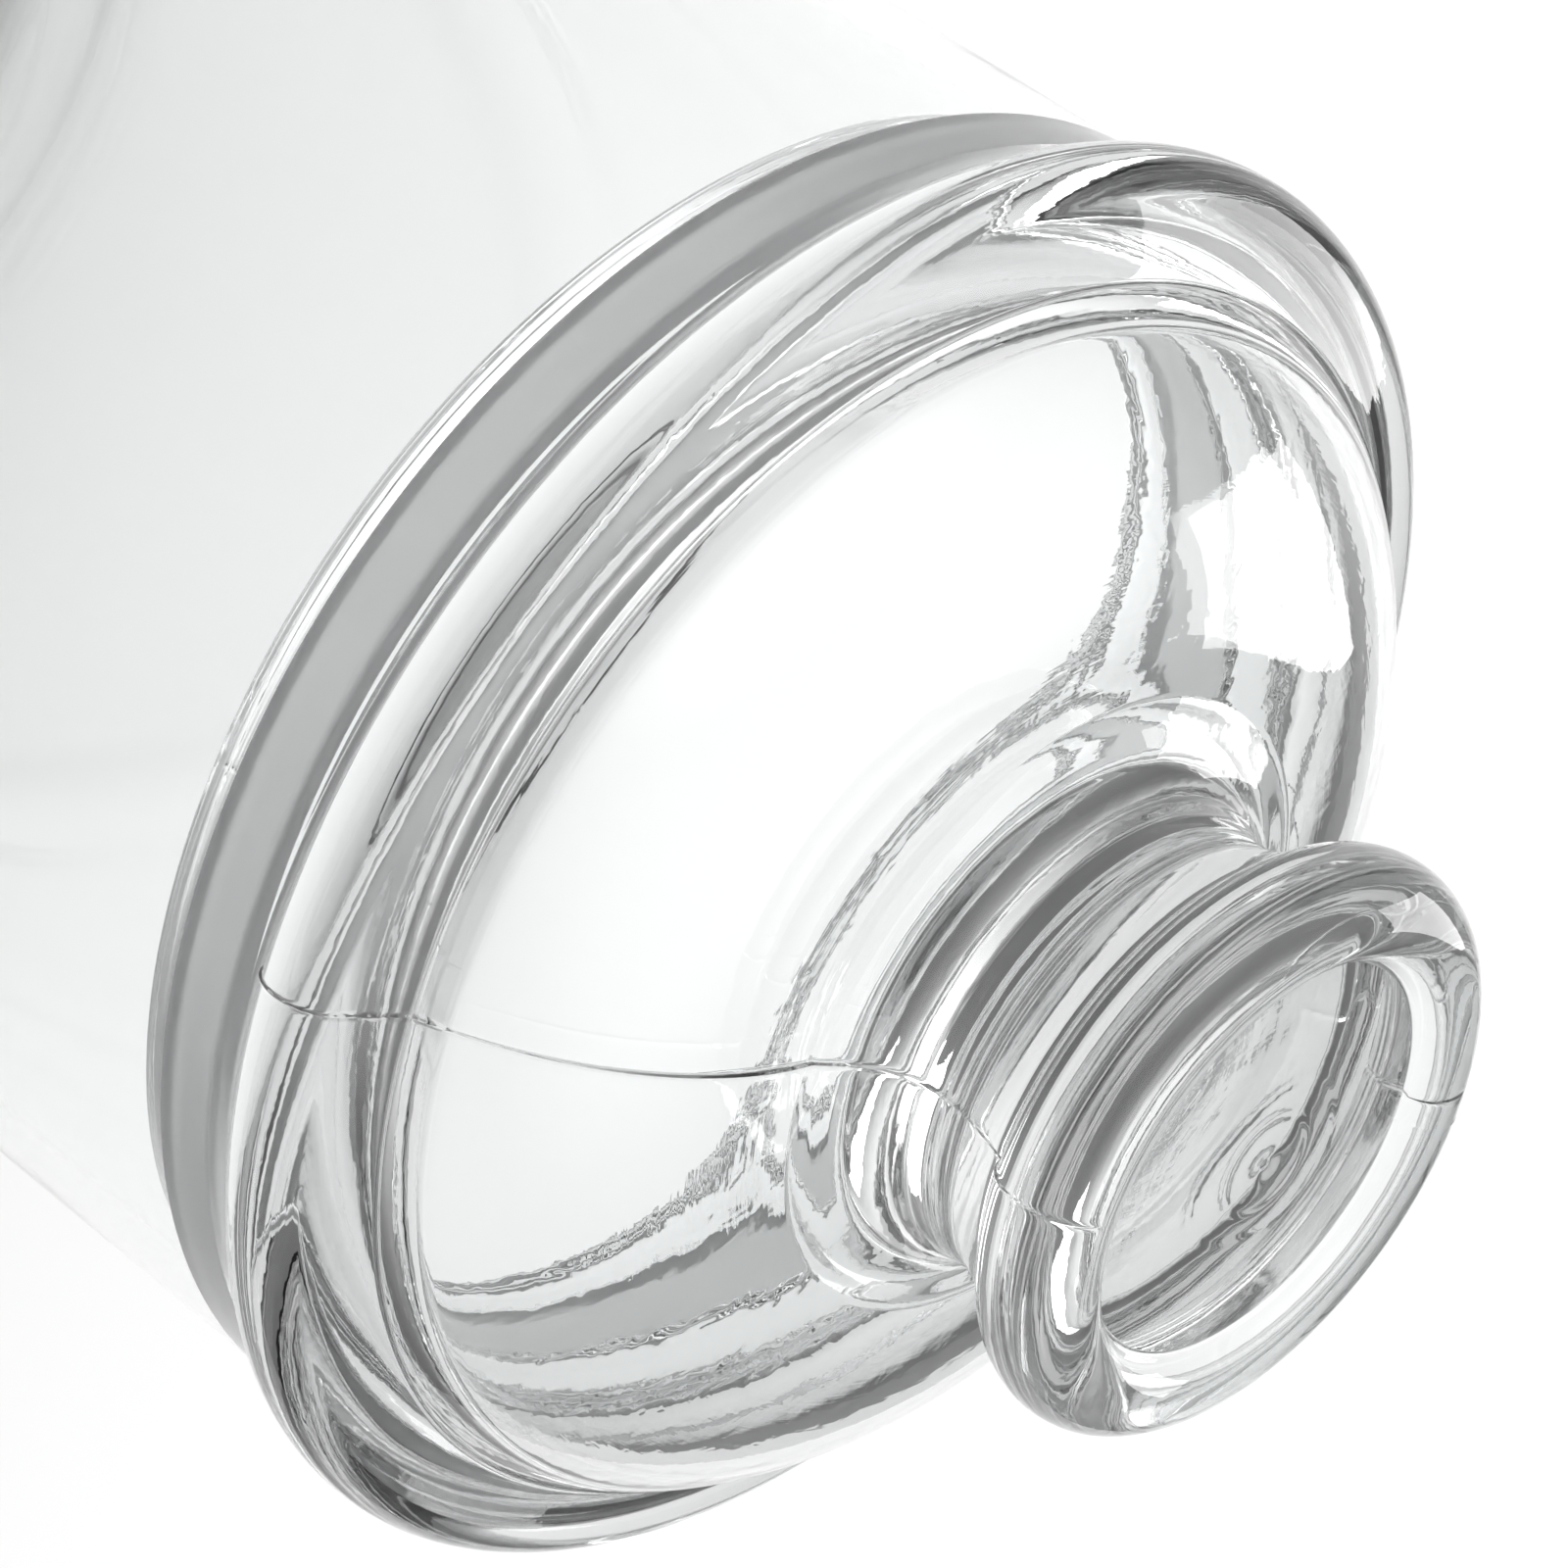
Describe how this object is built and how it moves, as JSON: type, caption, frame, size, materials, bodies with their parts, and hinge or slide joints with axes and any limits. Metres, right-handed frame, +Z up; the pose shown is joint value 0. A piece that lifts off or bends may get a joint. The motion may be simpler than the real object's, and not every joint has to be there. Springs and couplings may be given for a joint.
{
  "type": "specimen jar",
  "caption": "Clear cylindrical glass jar with a domed lid, round ring knob and a soft sealing ring that plugs its mouth.",
  "frame": {"origin": "middle of the jar's foot, on the surface it stands on", "axes": "+Z up the jar's axis towards the lid's knob; the object is a body of revolution about it, so +X and +Y are free"},
  "size_m": [0.11, 0.11, 0.1868],
  "materials": {
    "jar_glass": "clear polished",
    "lid_glass": "clear fire-polished, pressed",
    "silicone": "translucent satin"
  },
  "bodies": {
    "jar": {"jar_body": "jar_glass"},
    "seal": {"gasket": "silicone"},
    "lid": {"lid": "lid_glass"}
  },
  "joints": [
    {"name": "lid_lift", "type": "slide", "parent": "jar", "child": "seal", "axis": [0, 0, 1], "range_m": [0, 0.06]},
    {"name": "lid_turn", "type": "hinge", "parent": "seal", "child": "lid", "pos_m": [0, 0, 0.143], "axis": [0, 0, 1], "continuous": true}
  ]
}
